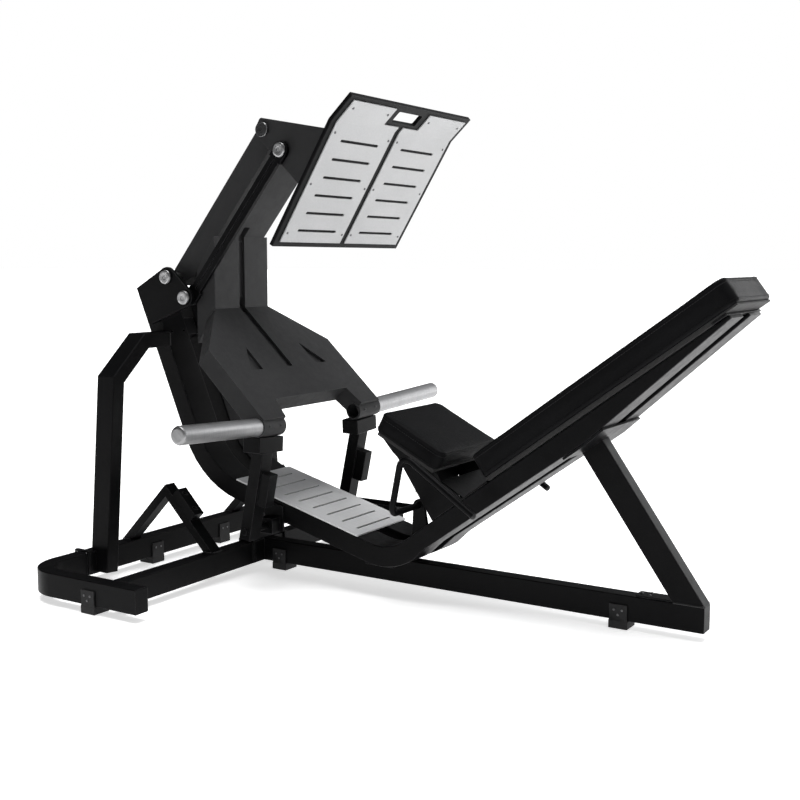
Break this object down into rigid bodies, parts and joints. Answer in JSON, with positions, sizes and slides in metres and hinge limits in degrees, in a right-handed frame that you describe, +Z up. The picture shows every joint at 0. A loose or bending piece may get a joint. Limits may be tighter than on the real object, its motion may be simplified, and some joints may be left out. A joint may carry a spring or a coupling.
{
  "type": "leg press machine",
  "caption": "Plate-loaded leg press: reclined padded seat facing a slotted foot plate on a parallel lever linkage with weight horns, swing-away stops and release handles.",
  "frame": {"origin": "middle of the bounding box in plan, on the floor", "axes": "+X from the base loop under the pivots to the head of the backrest, +Y to the machine's far side in the usual three-quarter view, +Z up"},
  "size_m": [1.8672, 1.322, 1.3584],
  "materials": {
    "frame_black": "near-black satin powder coat",
    "lever_grey": "dark grey satin powder coat",
    "satin_steel": "turned satin steel",
    "pin_steel": "zinc-bright steel",
    "panel_grey": "light grey painted sheet",
    "step_alloy": "brushed sheet",
    "pad_black": "black leather-grain upholstery",
    "board_black": "black stained plywood",
    "rubber": "moulded black rubber"
  },
  "bodies": {
    "frame": {"front_cross_rail": "frame_black", "spine": "frame_black", "loop_tube_left": "frame_black", "loop_tube_right": "frame_black", "rear_cross_rail_left": "frame_black", "rear_cross_rail_right": "frame_black", "foot_loop_left": "rubber", "foot_loop_right": "rubber", "foot_front_left": "rubber", "foot_front_right": "rubber", "foot_spine_front": "rubber", "foot_spine_rear": "rubber", "side_post_left": "frame_black", "side_post_right": "frame_black", "weight_bracket_left": "frame_black", "weight_bracket_right": "frame_black", "frame_rail_left": "frame_black", "frame_rail_right": "frame_black", "head_cross_plate": "frame_black", "rear_brace": "frame_black", "saddle": "frame_black", "step_plate": "step_alloy", "pivot_cheek_left": "frame_black", "pivot_cheek_right": "frame_black", "upright_top_plate": "frame_black", "main_pin": "pin_steel", "link_pin": "pin_steel", "bend_cradle": "frame_black", "hub_riser": "frame_black", "upright_tie": "frame_black", "seat_pad": "pad_black", "seat_board": "board_black", "seat_panel_left": "frame_black", "seat_panel_right": "frame_black", "seat_bridge_plate": "frame_black", "seat_cross_plate": "frame_black", "backrest_board": "board_black", "backrest_pad": "pad_black", "stop_arm_left": "frame_black", "stop_arm_right": "frame_black", "handle_lug_left": "frame_black", "handle_lug_right": "frame_black"},
    "lever": {"lever": "lever_grey", "weight_horn_left": "satin_steel", "weight_horn_right": "satin_steel", "carriage_pin": "pin_steel"},
    "front_link_body": {"front_link": "frame_black"},
    "foot_carriage": {"foot_carriage": "lever_grey", "foot_plate_frame": "frame_black", "foot_panel_left": "panel_grey", "foot_panel_right": "panel_grey", "link_top_pin": "pin_steel"},
    "release_handle": {"release_handle": "frame_black"},
    "stops": {"stop_shaft": "frame_black", "stop_post_left": "frame_black", "stop_post_right": "frame_black", "stop_head_left": "frame_black", "stop_head_right": "frame_black"},
    "release_rod": {"release_rod": "frame_black"}
  },
  "joints": [
    {"name": "press_arm", "type": "hinge", "parent": "frame", "child": "lever", "pos_m": [-0.786, 0, 0.889], "axis": [0, -1, 0], "range_deg": [0, 40]},
    {"name": "front_link", "type": "hinge", "parent": "frame", "child": "front_link_body", "pos_m": [-0.715, 0, 0.828], "axis": [0, -1, 0], "range_deg": [0, 40]},
    {"name": "carriage", "type": "hinge", "parent": "lever", "child": "foot_carriage", "pos_m": [-0.441, 0, 1.307], "axis": [0, -1, 0], "range_deg": [-40, 0]},
    {"name": "release_lift", "type": "hinge", "parent": "frame", "child": "release_handle", "pos_m": [0.052, 0, 0.269], "axis": [0, -1, 0], "range_deg": [0, 18], "stiffness_Nm_per_rad": 40, "springref_deg": -28.65},
    {"name": "stop_swing", "type": "hinge", "parent": "frame", "child": "stops", "pos_m": [-0.412, 0, 0.173], "axis": [0, 1, 0], "range_deg": [0, 18]},
    {"name": "rod_follow", "type": "hinge", "parent": "stops", "child": "release_rod", "pos_m": [-0.412, 0, 0.213], "axis": [0, 1, 0], "range_deg": [-18, 0]}
  ],
  "couplings": [
    {"joint": "front_link", "follows": "press_arm", "ratio": 1},
    {"joint": "carriage", "follows": "press_arm", "ratio": -1},
    {"joint": "stop_swing", "follows": "release_lift", "ratio": 1},
    {"joint": "rod_follow", "follows": "release_lift", "ratio": -1}
  ]
}
